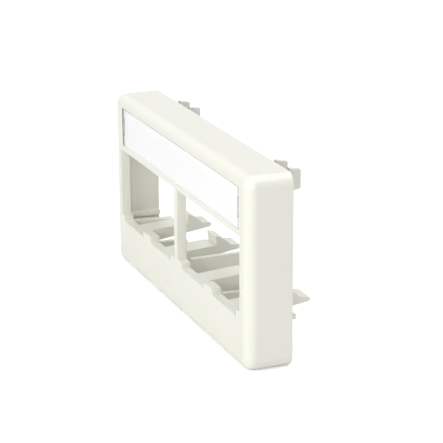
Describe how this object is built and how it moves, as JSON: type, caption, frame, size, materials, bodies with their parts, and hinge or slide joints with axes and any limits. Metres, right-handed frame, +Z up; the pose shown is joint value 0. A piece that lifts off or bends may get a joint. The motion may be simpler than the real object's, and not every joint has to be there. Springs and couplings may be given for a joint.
{
  "type": "keystone faceplate",
  "caption": "Off-white rectangular snap-in faceplate with open module windows either side of a mullion, sprung latch arms behind the sill and a clear-covered label strip along the top.",
  "frame": {"origin": "centre of the rear rim, on the plane that seats against the panel", "axes": "+X to the right seen from the front, +Y into the panel, +Z up; the front looks along -Y"},
  "size_m": [0.073, 0.0168, 0.0376],
  "materials": {
    "moulded_abs": "satin off-white moulded plastic",
    "label_paper": "plain white paper",
    "clear_cover": "clear moulded strip"
  },
  "bodies": {
    "plate": {"faceplate_frame": "moulded_abs", "label_card": "label_paper"},
    "cover": {"label_cover": "clear_cover"}
  },
  "joints": [
    {"name": "cover_pull", "type": "slide", "parent": "plate", "child": "cover", "axis": [0, -1, 0], "range_m": [0, 0.015]}
  ]
}
